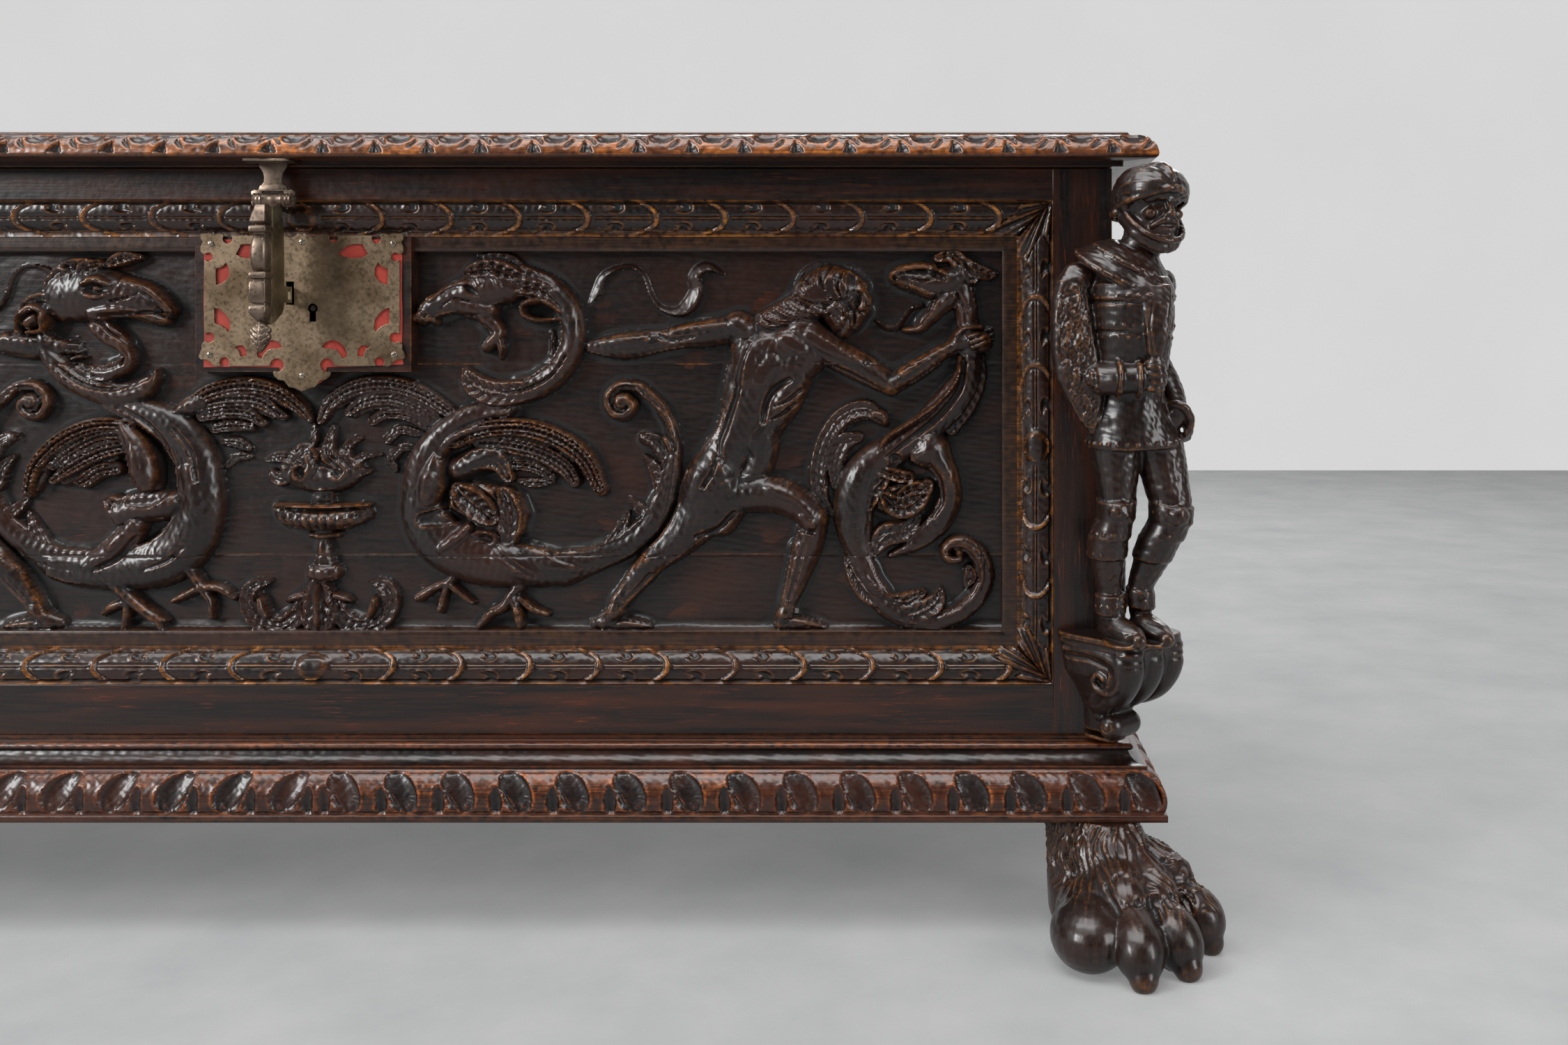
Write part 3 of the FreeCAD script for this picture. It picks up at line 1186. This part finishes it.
def lock_plate():
    """Pierced steel plate with ears, a crest and a pendant."""
    body = flat_body("lock_plate", LOCK_X, PLATE_BACK, PLATE_LOW)
    outline = front_sketch(body, "plate_outline")
    right = [plate_point(*share) for share in PLATE_HALF_SHARES]
    left = [plate_point(-across, rise) for across, rise in reversed(PLATE_HALF_SHARES[1:-1])]
    draw_polygon(outline, right + left)
    pad(body, outline, "plate_sheet", s.lock_plate_thick)
    holes = front_sketch(body, "plate_holes")
    for name, (across, rise), radius in PLATE_ROUND_SHARES:
        for side, word in ((-1, "left"), (1, "right")):
            draw_circle(holes, plate_point(across * side, rise), s.lock_plate_height * radius, name + word)
    for index, share in enumerate(PLATE_SCREW_SHARES):
        draw_circle(holes, plate_point(*share), s.lock_screw_radius + s.pilot_gap, "screw" + str(index))
    pocket(body, holes, "plate_piercing")
    ways = front_sketch(body, "plate_ways")
    key_z = BODY_TOP - s.keyhole_drop - PLATE_LOW
    draw_circle(ways, (s.keyhole_right, key_z), s.keyhole_radius, "keyhole")
    slot_x = STAPLE_X - LOCK_X
    slot_z = BOLT_Z - PLATE_LOW
    draw_rectangle(ways, (slot_x - s.staple_slot_width / 2, slot_z - s.staple_slot_height / 2),
                   (slot_x + s.staple_slot_width / 2, slot_z + s.staple_slot_height / 2))
    pocket(body, ways, "plate_openings")
    slot = front_sketch(body, "keyhole_slot")
    draw_rectangle(slot, (s.keyhole_right - s.keyhole_width / 2, key_z - s.keyhole_length),
                   (s.keyhole_right + s.keyhole_width / 2, key_z))
    pocket(body, slot, "keyhole_leg")
    keep("lock_plate", body)


def plate_screws(name, gap):
    """Six screws of the plate; with a gap, the holes for them."""
    pieces = []
    for index, (across, rise) in enumerate(PLATE_SCREW_SHARES):
        x, z = plate_point(across, rise)
        at = (LOCK_X + x, PLATE_LOW + z)
        label = name + str(index)
        shank = rod(label + "_shank", (at[0], PLATE_FACE + s.lock_screw_length + gap, at[1]),
                    s.lock_screw_length + gap, s.lock_screw_radius + gap, "y")
        if gap.number == 0:
            head = rod(label + "_head", (at[0], PLATE_FACE, at[1]), s.screw_head_height,
                       s.lock_screw_head, "y")
            shank = fuse(label, [shank, head])
        pieces.append(shank)
    return fuse(name, pieces) if gap.number else group(name, pieces)


def lock_wood_and_cloth():
    """The block that carries the lock and the cloth between block and plate."""
    half = s.lock_plate_width / 2 + s.lock_block_side
    fillet = OPENING_HIGH - s.leaf_width - s.leaf_fillet_width
    top = OPENING_HIGH - s.leaf_width
    across = (LOCK_X - half, LOCK_X + half)
    main = box("block_main", across, (CLOTH_BACK, GROUND), (top - s.lock_block_height, fillet))
    upper = box("block_upper", across, (CLOTH_BACK, FRONT + s.leaf_fillet_sink), (fillet, top))
    blank = fuse("block_blank", [main, upper])
    tools = [case_space("block_mortise", s.running_gap), plate_screws("block_pilot", s.pilot_gap)]
    keep("lock_block", cut("lock_block", blank, tools))
    keep("lock_screws", plate_screws("lock_screws", ZERO))

    body = flat_body("lock_cloth", LOCK_X, CLOTH_BACK, PLATE_LOW)
    outline = front_sketch(body, "cloth_outline")
    draw_polygon(outline, [plate_point(across, rise) for across, rise in CLOTH_SHARES])
    pad(body, outline, "cloth_sheet", s.lock_cloth_thick)
    window = front_sketch(body, "cloth_window")
    half = s.lock_case_width / 2 + s.running_gap
    low = CASE_TOP - s.lock_case_height - s.running_gap - PLATE_LOW
    draw_rectangle(window, (-half, low), (half, CASE_TOP + s.running_gap - PLATE_LOW))
    for index, share in enumerate(PLATE_SCREW_SHARES):
        draw_circle(window, plate_point(*share), s.lock_screw_radius + s.pilot_gap, "hole" + str(index))
    pocket(body, window, "cloth_openings")
    keep("lock_cloth", body)


def lock_works():
    """Iron case behind the plate, with the key's pin, two bolt guides and the sliding bolt."""
    half = s.lock_case_width / 2
    wall = s.lock_case_wall
    low = CASE_TOP - s.lock_case_height
    outer = box("case_outer", (LOCK_X - half, LOCK_X + half), (PLATE_BACK, CASE_BACK), (low, CASE_TOP))
    inner = box("case_inner", (LOCK_X - half + wall, LOCK_X + half - wall),
                (PLATE_BACK - s.overrun, CASE_BACK - wall), (low + wall, CASE_TOP - wall))
    shell = cut("case_shell", outer, [inner])
    key = (LOCK_X + s.keyhole_right, CASE_BACK, BODY_TOP - s.keyhole_drop)
    key_pin = rod("key_pin", key, s.lock_case_depth + s.lock_plate_thick / 2, s.key_pin_radius, "y")
    bolt_end = STAPLE_X + s.hasp_web_thick / 2 + s.bolt_start
    guide_y = (FRONT + s.bolt_sink + s.bolt_thick / 2 + s.running_gap, CASE_BACK - wall / 2)
    guide_z = (BOLT_Z - s.bolt_height, BOLT_Z + s.bolt_height)
    guides = []
    for name, share in (("near", 0.1), ("far", 0.75)):
        left = bolt_end + s.bolt_length * share
        guides.append(box("bolt_guide_" + name, (left, left + s.bolt_height), guide_y, guide_z))
    keep("lock_case", fuse("lock_case", [shell, key_pin] + guides))

    body = flat_body("lock_bolt", bolt_end, FRONT + s.bolt_sink + s.bolt_thick / 2, BOLT_Z)
    outline = front_sketch(body, "bolt_outline")
    draw_rectangle(outline, (ZERO, -s.bolt_height / 2), (s.bolt_length, s.bolt_height / 2))
    pad(body, outline, "bolt_bar", s.bolt_thick)
    keep("lock_bolt", body)


# Hasp
def strap_recess(name):
    """The slot in the lid board that holds the strap's tongue."""
    return strap_plate(name, s.pilot_gap, s.lid_board_reach)


def strap_plate(name, gap, front):
    """The strap's flat part, from inside the lid board to the given front."""
    top = LID_TOP - s.lid_edge_height
    half = s.hasp_strap_width / 2 + gap
    return box(name, (HASP_X - half, HASP_X + half), (proud(front), FRONT + s.hasp_strap_reach + gap),
               (top - s.hasp_strap_thick - gap, top + gap))


def hasp():
    """Strap under the lid, pin, and the arm with its web, staple and leaf end."""
    under = LID_TOP - s.lid_edge_height - s.hasp_strap_thick
    plate = strap_plate("strap_plate", ZERO, s.hasp_strap_reach)
    face = (proud(s.hasp_axis_proud + s.hasp_strap_thick), proud(s.hasp_axis_proud))
    neck = box("strap_neck", (HASP_X - s.hasp_neck_width / 2, HASP_X + s.hasp_neck_width / 2), face,
               (AXIS_Z + s.hasp_knuckle_radius, under + s.hasp_strap_thick / 2))
    half = s.hasp_knuckle_length / 2
    shoulder = box("strap_shoulder", (HASP_X - half, HASP_X + half), face,
                   (AXIS_Z, AXIS_Z + s.hasp_knuckle_radius * 2))
    start = (HASP_X - half, proud(s.hasp_axis_proud), AXIS_Z)
    barrel = rod("strap_barrel", start, s.hasp_knuckle_length, s.hasp_knuckle_radius, "x")
    middle = s.hasp_middle_length / 2
    window = box("strap_window", (HASP_X - middle - s.running_gap, HASP_X + middle + s.running_gap),
                 (proud(s.hasp_bar_front), FRONT), (AXIS_Z - s.hasp_knuckle_radius * 2,
                                                    AXIS_Z + s.hasp_knuckle_radius + s.running_gap * 2))
    bore = rod("strap_bore", start, s.hasp_knuckle_length, s.hasp_pin_radius, "x")
    blank = fuse("strap_blank", [plate, neck, shoulder, barrel])
    keep("hasp_strap", cut("hasp_strap", blank, [window, bore]))
    keep("hasp_pin", rod("hasp_pin", start, s.hasp_knuckle_length, s.hasp_pin_radius, "x"))

    start = (HASP_X - middle, proud(s.hasp_axis_proud), AXIS_Z)
    knuckle = rod("arm_knuckle", start, s.hasp_middle_length, s.hasp_knuckle_radius, "x")
    top = AXIS_Z - s.hasp_arm_start
    root = box("arm_root", (HASP_X - s.hasp_bar_width / 2, HASP_X + s.hasp_bar_width / 2),
               (proud(s.hasp_bar_back + s.hasp_strap_thick), proud(s.hasp_axis_proud)),
               (top - s.hasp_arm_start, AXIS_Z - s.hasp_arm_start * 3 / 4))
    pieces = [knuckle, root]
    depth = s.hasp_bar_front - s.hasp_bar_back
    begin = top
    for name, end, width, thick in HASP_STAGE_SHARES:
        finish = top - s.hasp_arm_length * end
        half = s.hasp_bar_width / 2 * width
        front = proud(s.hasp_bar_back + depth * thick)
        pieces.append(box("arm_" + name, (HASP_X - half, HASP_X + half), (front, proud(s.hasp_bar_back)),
                          (finish, begin)))
        begin = finish
    web = (STAPLE_X - s.hasp_web_thick / 2, STAPLE_X + s.hasp_web_thick / 2)
    pieces.append(box("arm_web", web, (proud(s.hasp_bar_back + s.hasp_strap_thick), proud(s.hasp_web_back)),
                      (AXIS_Z - s.hasp_web_drop, top)))
    staple_rise = (STAPLE_Z - s.staple_height / 2, STAPLE_Z + s.staple_height / 2)
    pieces.append(box("arm_staple", web, (proud(s.hasp_web_back + s.hasp_strap_thick),
                                          proud(-s.staple_tip_sink)), staple_rise))
    leaf_z = top - s.hasp_arm_length - s.hasp_leaf_length / 2 + s.hasp_strap_thick
    pieces.append(egg("arm_leaf", (HASP_X, proud((s.hasp_bar_back + s.hasp_bar_front) / 2), leaf_z),
                      (s.hasp_leaf_width / 2, s.hasp_leaf_thick / 2, s.hasp_leaf_length / 2), 0))
    blank = fuse("arm_blank", pieces)
    bore = rod("arm_bore", start, s.hasp_middle_length, s.hasp_pin_radius + s.pin_gap, "x")
    eye_half = s.staple_eye_height / 2
    eye = box("arm_eye", (web[0] - s.overrun, web[1] + s.overrun),
              (proud(s.staple_eye_proud + s.staple_eye_depth / 2),
               proud(s.staple_eye_proud - s.staple_eye_depth / 2)),
              (STAPLE_Z - eye_half, STAPLE_Z + eye_half))
    keep("hasp_arm", cut("hasp_arm", blank, [bore, eye]))


def check_document():
    """Stop if any object failed or any node's shape is unusable."""
    doc.recompute()
    for item in doc.Objects:
        if "Invalid" in item.State or "Error" in item.State:
            raise RuntimeError(item.Name + " failed: " + ", ".join(item.State))
    for name, piece in nodes.items():
        if piece.Shape.isNull() or not piece.Shape.isValid():
            raise RuntimeError(name + " has no valid shape")


def write_parts():
    """Write each node to its own file."""
    os.makedirs("parts", exist_ok=True)
    for name, piece in nodes.items():
        piece.Shape.exportStep("parts/" + name + ".step")
        solids = len(piece.Shape.Solids)
        print(name, solids, "solid" if solids == 1 else "solids", round(piece.Shape.Volume))


front_frame()
carcase_boards()
front_panel()
leaf_mouldings()
base_mouldings()
lid()
lid_hinges()
paw_feet()
brackets()
knights()
lock_plate()
lock_wood_and_cloth()
lock_works()
hasp()
check_document()
write_parts()
print("nodes", len(nodes))
